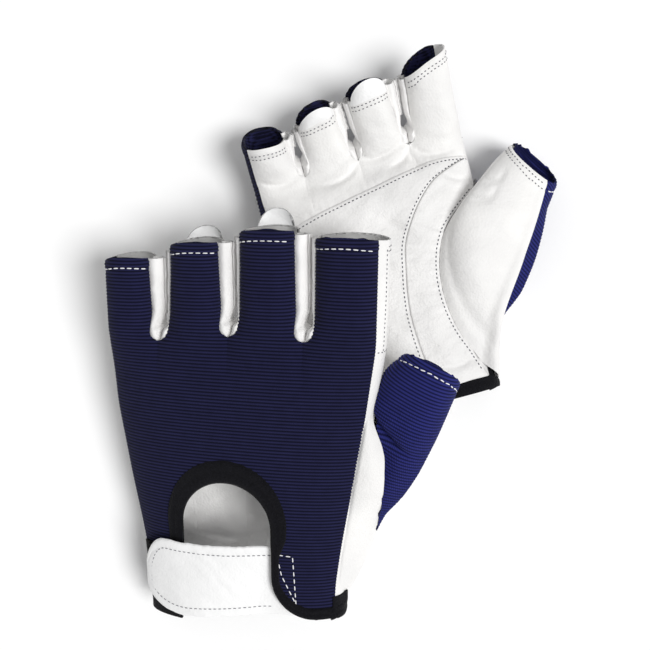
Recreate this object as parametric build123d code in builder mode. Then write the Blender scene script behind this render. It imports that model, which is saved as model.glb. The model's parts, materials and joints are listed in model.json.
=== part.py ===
"""Pair of short-finger sailing gloves, lying on a table, the left one leaning on the right one.

Each glove is drawn once in its own frame: X towards the thumb, Y towards the fingertips, Z out of
the back of the hand, origin in the middle of the wrist edge. The left glove lies palm down. The right
glove is its mirror image, palm up, so that +X is the thumb side of both.
"""

import os
from math import copysign, cos, pi, sin

from build123d import *

os.makedirs("parts", exist_ok=True)

# ---- Driving dimensions, mm and degrees -------------------------------------------------------
WALL = 1.1  # leather and ribbed cloth, as sewn
PATCH = 1.0  # palm overlays, tape and hook-and-loop pads
FIT = 0.05  # play between layers that lie on each other
GAP = 0.35  # play between pieces that move apart
HAND_END = {"left": 107.0, "right": 99.0}  # knuckle end of the hand shell, cupped on the right
ROOT_GAP = 5.0  # from there to the finger stalls, bridged by the cloth
SQUARENESS = 2.5  # exponent of the oval sections: 2 is an ellipse, more is boxier
HINGE_DROP = 8.0  # finger hinges lie this far to the palm side of the middle

# Hand shell: station along Y, middle in X, half width, half thickness
HAND = {
    "left": [
        (-6, 3.0, 38.0, 13.0),
        (31, 3.0, 38.0, 13.0),
        (58, 1.8, 44.5, 13.0),
        (85, 1.0, 50.0, 12.6),
        (HAND_END["left"], 1.0, 53.0, 11.5),
    ],
    "right": [
        (-6, 2.5, 37.0, 13.0),
        (31, 2.5, 37.0, 13.0),
        (58, 3.2, 40.5, 13.8),
        (85, 4.2, 43.5, 13.8),
        (HAND_END["right"], 4.2, 44.0, 12.8),
    ],
}
SEAM_RISE = 7.0  # the palm leather wraps up the thumb side by this much
SEAM_SPAN = 100.0

# Finger stalls: middle in X and half width at the start, the same at the rim, rim station
FINGERS = {
    "left": {
        "index": (37.7, 14.9, 39.4, 15.3, 147.7),
        "middle": (8.1, 13.9, 9.4, 13.7, 150.4),
        "ring": (-20.0, 13.3, -18.2, 13.1, 145.0),
        "little": (-43.3, 9.2, -42.4, 10.0, 139.6),
    },
    "right": {
        "index": (35.2, 12.2, 34.4, 12.0, 131.0),
        "middle": (11.6, 10.9, 10.8, 10.9, 129.0),
        "ring": (-10.4, 10.2, -11.0, 10.2, 125.0),
        "little": (-29.8, 8.4, -30.4, 8.4, 121.0),
    },
}
STALL_HALF_THICK = (10.0, 9.3)  # at the start, at the rim
BACK_SEAM = 4.0  # height of the seam between the back cloth and the side strips
FRONT_SEAM = -4.0  # height of the seam between the palm leather and the side strips
CURL = {  # how far the stalls are bent to the palm at rest
    "left": {"index": 0.0, "middle": 0.0, "ring": 0.0, "little": 0.0},
    "right": {"index": 30.0, "middle": 34.0, "ring": 36.0, "little": 40.0},
}

# Pull tabs at the palm rims of the two middle stalls
TAB_WIDTH = 15.0
TAB_REACH = 6.0

# Back vent, wrist tape and strap
VENT_MIDDLE = -6.0
VENT_RADIUS = 17.5
VENT_TOP = 53.5
VENT_CORNER = 15.0  # rounded lower corner of the thumb-side leg
TAPE_WIDTH = 6.0
TAPE_FOLD = 1.0  # the fold of the tape stands this far off the cloth's edge
STRAP_LOW, STRAP_HIGH = 3.0, 29.0
STRAP_TIP = -37.0
STRAP_HINGE = 8.0
STRAP_ROOT = (8.9, 19.0)  # it starts clear of the swing of the free end
STRAP_ROUND = 11.0
STRAP_WALL = 1.4
PAD_ACROSS = (-39.5, -24.5)
PAD_ALONG = (6.0, 26.0)
PAD_EDGE = 3.0  # the pads end at this height on the side of the wrist

# Palm overlays: upper edge of the patch, and both edges of the thumb crescent
OVERLAY_LOW = 7.0
PATCH_EDGE = [(50, 91.4), (35, 91.2), (22, 89), (4, 85), (-22, 79.5), (-60, 68)]
CRESCENT_OUTER = [(50, 90), (31, 82), (18, 66), (12.6, 49), (10.8, 32), (13, OVERLAY_LOW)]
CRESCENT_INNER = [(50, 78), (39, 69), (29.5, 56), (26, 41), (28, 22), (33, OVERLAY_LOW)]

# Thumb stall: centre, half width, half thickness and axis direction of each section, outside and inside
THUMB = {
    "left": [
        ((50.2, 54.5, -4), 19.0, 9.5, (0.988, -0.156, 0)),
        ((66, 74.5, -4), 15.0, 10.8, (0.80, 0.60, 0)),
        ((71, 96, -4), 13.0, 10.0, (0.53, 0.85, 0)),
    ],
    "right": [
        ((48.2, 53.0, -4), 19.0, 9.5, (0.988, -0.156, 0)),
        ((62, 67, -4), 15.5, 10.8, (0.89, 0.45, 0)),
        ((71.5, 83, -4), 12.6, 10.0, (0.82, 0.57, 0)),
    ],
}
THUMB_ROOT_WALL = 2.6  # the wall slants at the root, so it is measured this wide there
THUMB_SEAM = -4.0
THUMB_HOLE = ((30, 57.5, -0.5), 19.0, 8.5, (0.91, -0.14, -0.39))  # place, half sizes, direction

# Where each glove lies: position, then turns about X (finger end up) and Y, then about Z
PLACE = {
    "left": ((-36.165, -107.745, 17.3), (12.5, -13.5, -3.0)),
    "right": ((28.835, -28.745, 17.0), (-1.5, 0.0, 14.0)),
}


# ---- Shared shapes ------------------------------------------------------------------------------
def oval(half_width, half_thick, points=12):
    """Points of a superellipse, counter-clockwise."""
    power = 2 / SQUARENESS
    ring = []
    for k in range(points):
        c, s = cos(2 * pi * k / points), sin(2 * pi * k / points)
        ring.append((half_width * copysign(abs(c) ** power, c), half_thick * copysign(abs(s) ** power, s)))
    return ring


def tube(sections):
    """Solid through oval sections, each a plane, a half width and a half thickness."""
    with BuildPart() as solid:
        for plane, half_width, half_thick in sections:
            with BuildSketch(plane):
                with BuildLine():
                    Spline(*oval(half_width, half_thick), periodic=True)
                make_face()
        loft(ruled=True)
    return solid.part


def hand_form(side, grow):
    """Outer form of the hand, grown or shrunk by an offset."""
    stations = [
        (Plane((x, y, 0), x_dir=(1, 0, 0), z_dir=(0, 1, 0)), half_width + grow, half_thick + grow)
        for y, x, half_width, half_thick in HAND[side]
    ]
    return tube(stations)


def finger_form(side, finger, grow, past=0.0):
    """Outer form of a finger stall, straight, grown or shrunk by an offset."""
    x0, w0, x1, w1, rim = FINGERS[side][finger]
    t0, t1 = STALL_HALF_THICK
    start = HAND_END[side] + ROOT_GAP
    return tube(
        [
            (Plane((x0, start, 0), x_dir=(1, 0, 0), z_dir=(0, 1, 0)), w0 + grow, t0 + grow),
            (Plane((x1, rim + past, 0), x_dir=(1, 0, 0), z_dir=(0, 1, 0)), w1 + grow, t1 + grow),
        ]
    )


def thumb_form(side, hollow):
    """Outer or inner form of the thumb stall, from its opening at the hand to its rim."""
    ovals = []
    for number, (centre, half_width, half_thick, along) in enumerate(THUMB[side]):
        across = Vector(*along).cross(Vector(0, 0, 1)).normalized()
        wall = (THUMB_ROOT_WALL if number == 0 else WALL * 1.15) if hollow else 0.0
        shift = across * (THUMB_ROOT_WALL * 0.5 if hollow and number == 0 else 0.0)
        plane = Plane(Vector(*centre) + shift, x_dir=across, z_dir=along)
        ovals.append((plane, half_width - wall, half_thick - min(wall, WALL)))
    return tube(ovals)


def slab(low, high):
    """Block that covers the whole glove between two stations along Y."""
    with BuildPart() as block:
        with BuildSketch():
            with Locations((0, (low + high) / 2)):
                Rectangle(400, high - low)
        extrude(amount=100, both=True)
    return block.part


def vent_outline(grow):
    """Arched opening in the back, down past the wrist edge, with a rounded leg on the thumb side."""
    radius = VENT_RADIUS + grow
    left, right = VENT_MIDDLE - radius, VENT_MIDDLE + radius
    spring = VENT_TOP - VENT_RADIUS
    below = -8
    corner = VENT_CORNER - grow
    corner_x = right + corner
    diagonal = corner * cos(pi / 4)
    with BuildSketch() as outline:
        with BuildLine():
            Line((left, below), (left, spring))
            ThreePointArc((left, spring), (VENT_MIDDLE, spring + radius), (right, spring))
            Line((right, spring), (right, VENT_CORNER))
            ThreePointArc(
                (right, VENT_CORNER),
                (corner_x - diagonal, VENT_CORNER - diagonal),
                (corner_x, VENT_CORNER - corner),
            )
            Line((corner_x, VENT_CORNER - corner), (corner_x, below))
            Line((corner_x, below), (left, below))
        make_face()
    return outline.sketch


def prism(outline):
    """An XY outline run through the whole thickness."""
    with BuildPart() as block:
        add(outline)
        extrude(amount=40, both=True)
    return block.part


def seam_plane():
    """Side seam between back and palm: it climbs from the little finger side to the thumb side."""
    return Plane((0, 0, SEAM_RISE / 2), x_dir=(0, 1, 0), z_dir=(-SEAM_RISE, 0, SEAM_SPAN))


# ---- Hand pieces --------------------------------------------------------------------------------
def hand_half(side, outer, core, thumb_hole, keep):
    """Half of the hand shell, back or palm, with the thumb opening cut."""
    with BuildPart() as half:
        add(outer)
        add(core, mode=Mode.SUBTRACT)
        add(slab(0, HAND_END[side]), mode=Mode.INTERSECT)
        split(bisect_by=seam_plane(), keep=keep)
        add(thumb_hole, mode=Mode.SUBTRACT)
    return half.part


def back_panel(side, outer, core, thumb_hole):
    """Ribbed cloth over the back of the hand, with the vent cut in it."""
    with BuildPart() as panel:
        add(hand_half(side, outer, core, thumb_hole, Keep.TOP))
        add(prism(vent_outline(TAPE_FOLD)), mode=Mode.SUBTRACT)
    return panel.part


def crescent_outline():
    """Curved band round the root of the thumb, seen on the palm."""
    with BuildSketch() as outline:
        with BuildLine():
            outer = Spline(*CRESCENT_OUTER)
            inner = Spline(*CRESCENT_INNER)
            Line(outer @ 1, inner @ 1)
            Line(inner @ 0, outer @ 0)
        make_face()
    return outline.sketch


def patch_outline():
    """Palm patch: from its curved upper edge to the wrist, up to the thumb band."""
    with BuildSketch() as outline:
        with BuildLine():
            upper = Spline(*PATCH_EDGE)
            band = Spline(*[(x - 3 * FIT, y + 3 * FIT) for x, y in CRESCENT_OUTER])
            Line(upper @ 0, band @ 0)
            Polyline(band @ 1, (-60, OVERLAY_LOW), upper @ 1)
        make_face()
    return outline.sketch


def palm_overlay(side, outline, thumb_hole):
    """Leather of one outline, sewn on the outside of the palm."""
    with BuildPart() as overlay:
        add(outline)
        extrude(amount=-40)
        add(hand_form(side, PATCH + FIT), mode=Mode.INTERSECT)
        add(hand_form(side, FIT), mode=Mode.SUBTRACT)
        split(bisect_by=Plane.XY.offset(-2.0), keep=Keep.BOTTOM)
        add(thumb_hole, mode=Mode.SUBTRACT)
    return overlay.part


def wrist_binding(side):
    """Tape folded over the wrist edge and round the vent: a channel with the panels inside it."""
    reach = TAPE_WIDTH + TAPE_FOLD
    with BuildPart() as arch:
        add(hand_form(side, PATCH))
        add(hand_form(side, -WALL - PATCH), mode=Mode.SUBTRACT)
        add(prism(vent_outline(reach)), mode=Mode.INTERSECT)
        split(bisect_by=Plane.XY, keep=Keep.TOP)
    with BuildPart() as tape:
        add(hand_form(side, PATCH))
        add(hand_form(side, -WALL - PATCH), mode=Mode.SUBTRACT)
        add(slab(-TAPE_FOLD, TAPE_WIDTH), mode=Mode.INTERSECT)
        add(arch.part)
        add(slab(-20, -TAPE_FOLD), mode=Mode.SUBTRACT)
        add(vent_cutter(0.0), mode=Mode.SUBTRACT)
        add(panel_space(side), mode=Mode.SUBTRACT)
    return tape.part


def vent_cutter(grow):
    """The vent opening through the back only."""
    with BuildPart() as cutter:
        add(vent_outline(grow))
        extrude(amount=40)
    return cutter.part


def panel_space(side):
    """What the panels fill, with a little play, so that the tape closes round them."""
    with BuildPart() as space:
        add(hand_form(side, FIT))
        add(hand_form(side, -WALL - FIT), mode=Mode.SUBTRACT)
        add(slab(-FIT, HAND_END[side]), mode=Mode.INTERSECT)
        add(vent_cutter(TAPE_FOLD - FIT), mode=Mode.SUBTRACT)
    return space.part


def pad_on_back(side, low, high):
    """Square of hook or loop tape that follows the back of the hand, between two offsets."""
    with BuildPart() as pad:
        with BuildSketch():
            with Locations((sum(PAD_ACROSS) / 2, sum(PAD_ALONG) / 2)):
                Rectangle(PAD_ACROSS[1] - PAD_ACROSS[0], PAD_ALONG[1] - PAD_ALONG[0])
        extrude(amount=40)
        add(hand_form(side, high), mode=Mode.INTERSECT)
        add(hand_form(side, low), mode=Mode.SUBTRACT)
        split(bisect_by=Plane.XY.offset(PAD_EDGE), keep=Keep.TOP)
    return pad.part


# ---- Strap --------------------------------------------------------------------------------------
PAD_BASE = PATCH + FIT  # the loop pad lies on the tape
HOOK_BASE = PAD_BASE + PATCH + GAP
STRAP_BASE = HOOK_BASE + PATCH + 6 * FIT
STRAP_UNDER = -WALL - PATCH - 2 * GAP - STRAP_WALL / 2  # the root lies under the leg and its tape


def above_wrist(side, x, height):
    """Point over the back of the wrist, at a place across it and a height off its surface."""
    _, middle, half_width, half_thick = HAND[side][0]
    share = abs(x - middle) / (half_width + height)
    return (x, (half_thick + height) * (1 - share**SQUARENESS) ** (1 / SQUARENESS))


def strap_line(side):
    """Middle line of the strap: above the pads at its tip, under the thumb-side leg at its root."""
    tip = STRAP_BASE + STRAP_WALL / 2
    over_pads = [(x, tip) for x in (STRAP_TIP, -35, -32, -28, -24)]
    across_vent = [(-20, tip - 0.3), (-4, -0.5)]
    under_leg = [(x, STRAP_UNDER) for x in (STRAP_HINGE - 4, STRAP_HINGE, STRAP_ROOT[1])]
    places = over_pads + across_vent + under_leg
    return [above_wrist(side, x, height) for x, height in places]


def strap_part(side, low_x, high_x, round_tip):
    """Stretch of the leather strap between two places across the hand."""
    with BuildPart() as leather:
        with BuildSketch(Plane.XZ.offset(-STRAP_HIGH)):
            with BuildLine():
                Spline(*strap_line(side))
            trace(line_width=STRAP_WALL)
        extrude(amount=STRAP_HIGH - STRAP_LOW)
        with BuildSketch(Plane.XY.offset(-20)):
            with Locations(((low_x + high_x) / 2, (STRAP_LOW + STRAP_HIGH) / 2)):
                Rectangle(high_x - low_x, STRAP_HIGH - STRAP_LOW)
            if round_tip:
                corners = vertices().group_by(Axis.X)[0]
                fillet(corners, STRAP_ROUND)
        extrude(amount=60, mode=Mode.INTERSECT)
    return leather.part


# ---- Finger stalls ------------------------------------------------------------------------------
def stall_pieces(side, finger):
    """Back cloth, palm leather and side strips of one stall, straight."""
    outer_side = {"index": 1, "little": -1}.get(finger, 0)
    middle_x = FINGERS[side][finger][0]
    with BuildPart() as shell:
        add(finger_form(side, finger, 0.0))
        add(finger_form(side, finger, -WALL), mode=Mode.SUBTRACT)
    pieces = {}
    with BuildPart() as back:
        add(shell.part)
        split(bisect_by=Plane.XY.offset(BACK_SEAM), keep=Keep.TOP)
    pieces["back"] = back.part
    with BuildPart() as front:
        add(shell.part)
        split(bisect_by=Plane.XY.offset(BACK_SEAM), keep=Keep.BOTTOM)
        for direction in (-1, 1):
            if direction != outer_side:
                add(side_region(middle_x, direction), mode=Mode.SUBTRACT)
    pieces["front"] = front.part
    for direction, name in ((-1, "side_strip_outer"), (1, "side_strip_inner")):
        if direction != outer_side:
            with BuildPart() as strip:
                add(shell.part)
                add(side_region(middle_x, direction), mode=Mode.INTERSECT)
            pieces[name] = strip.part
    return pieces


def side_region(middle_x, direction):
    """Half space beside a stall, between the two strip seams."""
    with BuildPart() as region:
        with BuildSketch(Plane.XY.offset(FRONT_SEAM)):
            with Locations((middle_x + direction * 50, 130)):
                Rectangle(100, 100)
        extrude(amount=BACK_SEAM - FRONT_SEAM)
    return region.part


def pull_tab(side, finger):
    """Leather tab that stands out of the palm rim of a stall."""
    _, _, x1, _, rim = FINGERS[side][finger]
    thick = STALL_HALF_THICK[1]
    with BuildPart() as tab:
        with BuildSketch(Plane.XY.offset(-thick - 3)):
            with Locations((x1, rim + GAP)):
                Ellipse(TAB_WIDTH / 2, TAB_REACH)
            with Locations((x1, rim - 15 + GAP)):
                Rectangle(60, 30, mode=Mode.SUBTRACT)
        extrude(amount=8)
        add(finger_form(side, finger, 0.0, past=12), mode=Mode.INTERSECT)
        add(finger_form(side, finger, -WALL, past=12), mode=Mode.SUBTRACT)
    return tab.part


# ---- Thumb --------------------------------------------------------------------------------------
def thumb_opening():
    """Hole in the thumb side of the hand shell that the thumb goes through."""
    centre, half_long, half_wide, along = THUMB_HOLE
    across = Vector(*along).cross(Vector(0, 0, 1)).normalized()
    with BuildPart() as hole:
        with BuildSketch(Plane(centre, x_dir=across, z_dir=along)):
            Ellipse(half_long, half_wide)
        extrude(amount=60)
    return hole.part


def thumb_piece(side, keep):
    """Back or palm half of the thumb stall, clear of the hand."""
    with BuildPart() as stall:
        add(thumb_form(side, False))
        add(thumb_form(side, True), mode=Mode.SUBTRACT)
        split(bisect_by=Plane.XY.offset(THUMB_SEAM), keep=keep)
    return stall.part


# ---- Putting the pair together ------------------------------------------------------------------
def finger_hinge(side):
    """Cross axis at the root of the stalls, nearer the palm."""
    return Axis((0, HAND_END[side] + ROOT_GAP / 2, -HINGE_DROP), (-1, 0, 0))


def place(part, side):
    """Lays a piece of one glove where that glove lies."""
    position, (tilt, roll, turn) = PLACE[side]
    if side == "right":
        part = mirror(part, about=Plane.XY)
    return Location(position) * Rotation(0, 0, turn) * Rotation(0, roll, 0) * Rotation(tilt, 0, 0) * part


def glove(side):
    """Every piece of one glove, by name, in the frame of the pair."""
    outer, core = hand_form(side, 0.0), hand_form(side, -WALL)
    thumb_hole = thumb_opening()
    pieces = {
        "back_panel": back_panel(side, outer, core, thumb_hole),
        "palm_panel": hand_half(side, outer, core, thumb_hole, Keep.BOTTOM),
        "palm_patch": palm_overlay(side, patch_outline(), thumb_hole),
        "thumb_crescent": palm_overlay(side, crescent_outline(), thumb_hole),
        "wrist_binding": wrist_binding(side),
        "loop_pad": pad_on_back(side, PAD_BASE, PAD_BASE + PATCH),
        "hook_pad": pad_on_back(side, HOOK_BASE, HOOK_BASE + PATCH),
        "strap": strap_part(side, STRAP_TIP, STRAP_HINGE - 0.2, True),
        "strap_root": strap_part(side, *STRAP_ROOT, False),
        "thumb_back": thumb_piece(side, Keep.TOP),
        "thumb_front": thumb_piece(side, Keep.BOTTOM),
    }
    for finger, curl in CURL[side].items():
        for name, piece in stall_pieces(side, finger).items():
            pieces[f"{finger}_{name}"] = piece.rotate(finger_hinge(side), curl)
        if finger in ("middle", "ring"):
            pieces[f"{finger}_pull_tab"] = pull_tab(side, finger).rotate(finger_hinge(side), curl)
    return {name: place(piece, side) for name, piece in pieces.items()}


for side in HAND:
    for name, piece in glove(side).items():
        piece.label = f"{side}_{name}"
        export_step(piece, f"parts/{side}_{name}.step")
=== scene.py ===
"""Looks of a pair of short-finger sailing gloves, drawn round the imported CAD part.

Each glove is drawn in its own frame, in mm: x to the thumb, y to the fingertips, z out of the back.
That frame is read from the part's joints, and the right glove is the mirror image of the left.
"""

import json
from types import SimpleNamespace

import bpy
import numpy as np
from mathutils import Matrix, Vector

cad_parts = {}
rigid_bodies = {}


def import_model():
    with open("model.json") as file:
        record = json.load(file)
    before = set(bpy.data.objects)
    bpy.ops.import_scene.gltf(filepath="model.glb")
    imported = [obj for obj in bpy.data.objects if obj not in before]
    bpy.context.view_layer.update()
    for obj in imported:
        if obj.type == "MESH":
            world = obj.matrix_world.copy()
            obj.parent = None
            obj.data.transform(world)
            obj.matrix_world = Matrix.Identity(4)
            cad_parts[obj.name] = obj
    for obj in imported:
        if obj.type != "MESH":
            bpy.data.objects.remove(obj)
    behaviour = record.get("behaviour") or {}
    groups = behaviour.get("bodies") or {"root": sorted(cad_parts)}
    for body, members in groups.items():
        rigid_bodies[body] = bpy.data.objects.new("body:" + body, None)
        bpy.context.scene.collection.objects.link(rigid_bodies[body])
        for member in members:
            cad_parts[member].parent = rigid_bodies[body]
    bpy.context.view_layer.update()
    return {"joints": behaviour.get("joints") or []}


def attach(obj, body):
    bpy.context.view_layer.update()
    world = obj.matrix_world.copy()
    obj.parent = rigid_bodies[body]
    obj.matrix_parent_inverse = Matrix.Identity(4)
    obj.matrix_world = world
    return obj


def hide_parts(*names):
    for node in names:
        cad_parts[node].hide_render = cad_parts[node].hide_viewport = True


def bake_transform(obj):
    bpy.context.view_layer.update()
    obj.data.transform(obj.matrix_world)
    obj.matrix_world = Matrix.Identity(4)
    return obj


for leftover in list(bpy.data.objects):
    bpy.data.objects.remove(leftover)
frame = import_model()
JOINTS = {j["name"]: j for j in frame["joints"]}
MM = 0.001
SIDES = ("left", "right")
FINGERS = ("little", "ring", "middle", "index")
UP, DOWN = np.array([0, 0, 1.0]), np.array([0, 0, -1.0])

# ---- Driving dimensions, mm and degrees ----
RIB = 1.33  # pitch of the ribbed cloth
RIB_HEIGHT = 0.17
ROW = RIB / 4  # step of the cloth's grid
LEATHER_ROW = 0.8  # step of the leather's grid
CLOTH = 1.1  # thickness of the cloth and the leather
OVERLAY = 0.9  # height of the patch over the palm
BAND = OVERLAY * 1.2  # height of the crescent over the palm
POWER = 2.5  # of the oval sections
INNER_SEAM = 0.958  # share of a stall's half width where the side strips are sewn on
THUMB_SIDE_SEAM = 0.93
HAND_END = {"left": 107.0, "right": 99.0}
HINGE_PAST = 2.5  # the stalls' hinges lie this far past the hand's end
HINGE_DROP = 8.0
INDEX_HINGE_X = {"left": 37.7, "right": 35.2}
BLEND_LENGTH = 14.0
# station: outline on the little finger side, thumb side, half thickness
OUTLINE = {
    "left": [
        (-2, -40.3, 41, 13), (14, -41.3, 41, 13), (31, -44, 43, 13), (52, -48, 47, 13),
        (82, -53, 52.5, 12.6), (108, -55, 56.4, 11.5), (130, -55.3, 57.3, 10.5), (156, -55.2, 57.6, 10),
    ],
    "right": [
        (-2, -36, 39.5, 13), (14, -36.5, 40, 13), (31, -37, 42, 13.4), (52, -37.6, 45, 13.8),
        (82, -38.4, 50, 13.6), (100, -38.9, 50.2, 12.6), (120, -38.9, 49.2, 11), (142, -38.6, 48.8, 10),
    ],
}
# the cloth of the back ends here on the thumb side
BACK_EDGE = {
    "left": [(-2, 38.2), (14, 38.7), (31, 41), (50, 44.3), (83, 49.9), (110, 53.6), (156, 54.2)],
    "right": [(-2, 36.5), (14, 37), (31, 39), (50, 42), (83, 46.8), (100, 47), (142, 46)],
}
# slits between the stalls: x at the bottom, x at the rim, station of the bottom, half gap at the rim
SLITS = {
    "left": [(-32.1, -32, 109.6, 4.6), (-3.4, -3.7, 112.6, 4.4), (26.3, 26.2, 112, 4.1)],
    "right": [(-17, -18.4, 101.5, 3.2), (5.8, 3.2, 103, 3.2), (27.6, 26.7, 104, 3.9)],
}
SLIT_ROUND = {"left": 3.7, "right": 2.6}
SLIT_SHARE = {"left": 0.3, "right": 0.12}  # how far the strips' fold lies off the slit's middle
# rim of each stall: at its little finger side, at its thumb side
RIMS = {
    "left": {
        "little": (140.6, 141.6), "ring": (147.2, 148.6), "middle": (153, 153.8), "index": (151.4, 151.2),
    },
    "right": {
        "little": (119, 118), "ring": (122, 126), "middle": (127, 130), "index": (130.5, 138.5),
    },
}
STALL_THICK = (10, 9.4)  # half thickness at a stall's root, and at STALL_LENGTH past it
STALL_LENGTH = 45.0
HEM = 4.0  # from a rim to its stitches
THUMB_HEM = 3.6
PALM_HEM = (2.2, 4.2)  # two rows of stitches at the palm's rims
ARCH_ZONE = {"left": (92, 116), "right": (84, 107)}  # stations where the hand turns into stalls
LITTLE_WRAP = {"left": 0.93, "right": 0.80}  # share where the back's cloth ends, past the outer edge
CURL = {
    "left": dict.fromkeys(FINGERS, 0),
    "right": {"index": 30, "middle": 34, "ring": 36, "little": 40},
}
CURL_ZONE = {"left": (95, 115), "right": (91, 109)}
VENT = {"middle": -4.2, "radius": 18.6, "top": 55.5, "corner": 17.5}
TAPE = 6.4
TAPE_THICK = 0.35
STRAP = {"tip": -40, "root": 24, "fold": 8, "low": -1.7, "high": 30.2, "wall": 1.7, "thread": 3.7}
STRAP_ROUND = ((21, 12.6), (11.6, 17.9))  # length and height of the round at its low and its high corner
STRAP_LIFT = ([-40, -24, -12, -2, 5, 12, 24], [4.5, 4.4, 3.4, 1.6, -0.4, -2.6, -2.9])
TAB_REACH = {"middle": 7.6, "ring": 5.6}
TAB_HALF = 7.6
PATCH_EDGE = {
    "left": [(52, 97), (37, 97), (23, 94.5), (5, 90), (-22, 84), (-47, 75)],
    "right": [(50.6, 94.3), (35.4, 95.2), (22.8, 92.9), (4.9, 89.1), (-21, 83.5), (-35, 79)],
}
OVERLAY_FOOT = 4.5  # station where the patch and the crescent go under the wrist tape
CRESCENT = [
    (50.4, 94.1), (41.3, 91), (31.4, 86), (22.2, 76), (15.9, 65.8), (12.8, 53.4), (10.6, 39), (12.5, 7),
]
THUMB_LINE = [
    (49.8, 81.4), (45.9, 78.2), (39.8, 73.5), (32.1, 65.9), (26.6, 52.4), (25.6, 38.6), (28.5, 24), (35, 10),
]
# thumb: crotch, back of its root, outer edge, outline down to the wrist, and both ends of its rim
THUMB = {
    "left": {
        "crotch": (52.6, 88.5, -2),
        "root": [(52.2, 84.5, 2), (57, 68, 3.2), (56.8, 53.8, 2.6)],
        "edge": [(52.8, 33.1, -6), (65.8, 56.4, -9.5), (71.6, 70.4, -10.5)],
        "wrist": [(40.6, 3.4, -4), (42.4, 7.5, -4.3), (45.5, 13.5, -4.5), (50.5, 26, -4.5)],
        "rim": ((62.8, 107.1, -4), (84.2, 97.1, -4)),
        "tilt": 4,
        "bulge": (-2.6, 1.4, 0),
        "palm_bulge": (-2.6, 1.4, -1.5),
        "swell": 3.4,
        "creases": [[(44, 76), (52, 74), (58, 78)], [(50, 84), (56, 86), (60, 92)]],
    },
    "right": {
        "crotch": (51.5, 83.5, -2),
        "root": [(51.5, 79.5, 2), (55.5, 66, 3), (53.5, 48, 2)],
        "edge": [(43.2, 19.5, -8), (60, 46.3, -10.5), (69, 60.3, -11)],
        "wrist": [(39.2, 3.4, -4), (40.4, 8.5, -5), (41.8, 14, -5.5)],
        "rim": ((69, 94.8, -4), (83.2, 74.4, -4)),
        "tilt": 5,
        "bulge": (2.6, -2, 1),
        "palm_bulge": (-0.4, 0.8, -1.5),
        "swell": 5.4,
        "creases": [
            [(44, 76), (52, 74), (57, 78)], [(51, 82), (57, 80), (62, 84)], [(34, 14), (40, 20), (43, 27)],
        ],
    },
}
THUMB_HALF_THICK = 10.0
THUMB_SEAM_ANGLE = np.radians(-50)  # place of the outer seam round the thumb's rim
BACK_FOLD = [(49, 87), (54, 80), (60, 73.5), (67.5, 68.5)]
BACK_FOLD_BULGE = [(52, 91), (58, 84), (64, 78.5), (71, 74)]
# creases of the palm: line, depth, width
CREASES = [
    ([(4, 106), (11, 102), (20, 103.5), (28, 107)], 1.7, 1.2),
    ([(28, 104), (24, 99), (16, 96)], 1.3, 1.1),
    ([(28, 104), (32, 99), (41, 97.5), (47, 99)], 1.2, 1.2),
    ([(27, 102), (27, 98), (31, 93)], 0.9, 1),
    ([(5.6, 103), (1, 98), (-6, 95.5), (-14, 97)], 1.2, 1.2),
    ([(-36, 104), (-28, 100.5), (-18, 102)], 1.2, 1.2),
    ([(7, 78), (14, 71), (22, 63.5)], 1, 2),
    ([(-3, 72), (4, 63), (8, 52)], 0.9, 2.2),
    ([(36, 90), (41, 86), (48, 84)], 0.8, 1.1),
    ([(-36, 30), (-22, 23), (-6, 21)], 1.2, 1.9),
    ([(8, 17), (22, 12), (39, 15)], 1.2, 1.4),
    ([(30, 22), (36, 16), (42, 9)], 1, 1.2),
]
# stitches: length, gap, radius of the thread, and its material; the grey and the dark thread are their own
# grey darkened by painted shade of the stitch holes
STITCHES = {
    "hem": (1.9, 0.85, 0.25, "thread"),
    "leg": (1.9, 1.1, 0.24, "thread"),
    "strap": (1.2, 0.8, 0.17, "grey_thread_darkened_by_painted_shade"),
    "palm_hem": (0.75, 0.95, 0.21, "thread_darkened_by_painted_shade"),
    "thumb_palm": (0.8, 0.95, 0.22, "thread_darkened_by_painted_shade"),
    "palm_seam": (0.9, 0.85, 0.23, "thread_darkened_by_painted_shade"),
    "side": (0.8, 0.9, 0.2, "thread_darkened_by_painted_shade"),
}
STITCH_LIFT = 0.05
BOX_CORNERS = [(16.6, 27.2), (22.8, 26.6), (24, 6.6), (18.4, 18.5), (16.7, 26.4)]  # over the strap's root


# ---- Numbers and curves ----
def ease(t):
    t = np.clip(t, 0.0, 1.0)
    return t * t * (3 - 2 * t)


def zone(limits, y):
    """Goes smoothly from 0 to 1 between two stations."""
    return ease((y - limits[0]) / (limits[1] - limits[0]))


def bell(d, width):
    return np.exp(-((d / width) ** 2))


def signed_power(v, power):
    return np.sign(v) * np.abs(v) ** power


def oval(share):
    """Height of the rounded section, from 1 in the middle to 0 at its edge."""
    return (1 - np.clip(np.abs(share), 0, 1) ** POWER) ** (1 / POWER)


def points(x, y, z):
    return np.stack(np.broadcast_arrays(x, y, z), -1)


def unit(v, least=1e-12):
    return v / np.maximum(np.linalg.norm(v, axis=-1, keepdims=True), least)


def lengths(points):
    """Distance along a line at each of its points."""
    return np.concatenate([[0], np.cumsum(np.linalg.norm(np.diff(points, axis=0), axis=1))])


def along_line(t, keys, values):
    """Values of a line's points at distances t along it."""
    return np.stack([np.interp(t, keys, column) for column in values.T], -1)


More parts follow.
